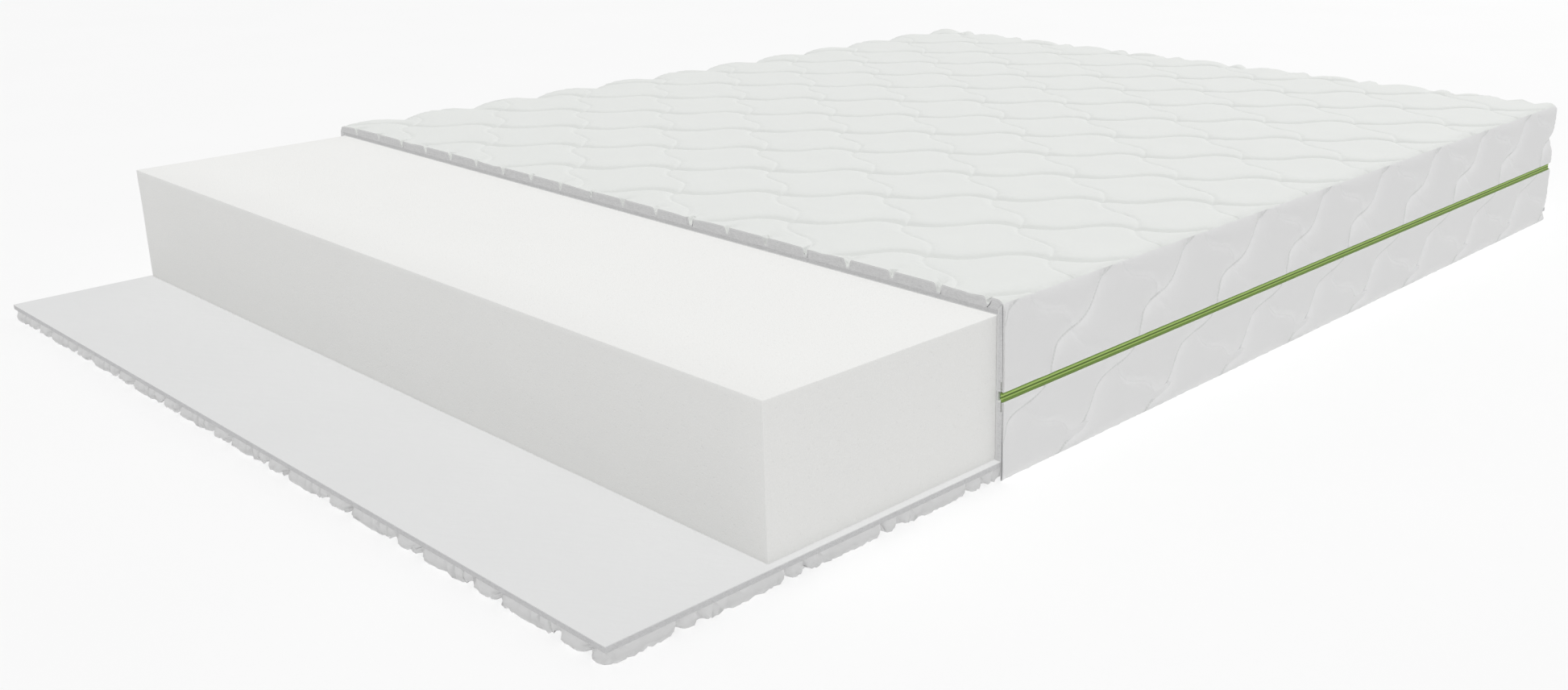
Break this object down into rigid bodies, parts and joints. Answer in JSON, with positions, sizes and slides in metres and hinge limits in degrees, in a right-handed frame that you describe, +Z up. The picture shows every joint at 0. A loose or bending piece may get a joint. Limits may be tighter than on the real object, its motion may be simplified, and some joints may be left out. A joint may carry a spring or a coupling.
{
  "type": "memory foam mattress",
  "caption": "Memory foam mattress in a quilted knit cover with a zip round its border, cut away at one end to show the foam block and the lower panel's layers.",
  "frame": {"origin": "centre of the underside's bounding rectangle, at floor level", "axes": "+X is the width, +Y the length towards the closed end, +Z up; the cut-open end faces -Y"},
  "size_m": [1.4, 2, 0.205],
  "materials": {
    "knit_fabric": "matte",
    "wadding": "matte",
    "pad": "matte",
    "lining": "matte",
    "memory_foam": "matte",
    "zip_tape": "matte",
    "zip_coil": "satin",
    "zip_stop": "satin",
    "thread": "matte",
    "slider_metal": "satin"
  },
  "bodies": {
    "lower_cover": {"bottom_face_fabric": "knit_fabric", "bottom_wadding": "wadding", "bottom_pad": "pad", "bottom_lining": "lining", "lower_border_fabric": "knit_fabric", "lower_border_wadding": "wadding", "lower_border_lining": "lining", "zip_guard": "lining", "lower_zip_tape": "zip_tape", "lower_zip_coil": "zip_coil", "lower_zip_stop": "zip_stop", "lower_zip_stitching": "thread"},
    "core": {"foam_core": "memory_foam"},
    "upper_cover": {"top_lining": "lining", "top_pad": "pad", "top_wadding": "wadding", "top_face_fabric": "knit_fabric", "upper_border_fabric": "knit_fabric", "upper_border_wadding": "wadding", "upper_border_lining": "lining", "upper_zip_tape": "zip_tape", "upper_zip_coil": "zip_coil", "upper_zip_stop": "zip_stop", "upper_zip_stitching": "thread"},
    "slider": {"zip_slider": "slider_metal"},
    "pull": {"zip_pull": "slider_metal"}
  },
  "joints": [
    {"name": "upper_cover_lift", "type": "slide", "parent": "lower_cover", "child": "upper_cover", "axis": [0, 0, 1], "range_m": [0, 0.35]},
    {"name": "core_slide", "type": "slide", "parent": "lower_cover", "child": "core", "axis": [0, -1, 0], "range_m": [0, 1.5]},
    {"name": "slider_travel", "type": "slide", "parent": "lower_cover", "child": "slider", "axis": [1, 0, 0], "range_m": [0, 1.1]},
    {"name": "pull_swing", "type": "hinge", "parent": "slider", "child": "pull", "pos_m": [-0.56, 0.9984, 0.097], "axis": [0, 0, 1], "range_deg": [-175, 0]}
  ]
}
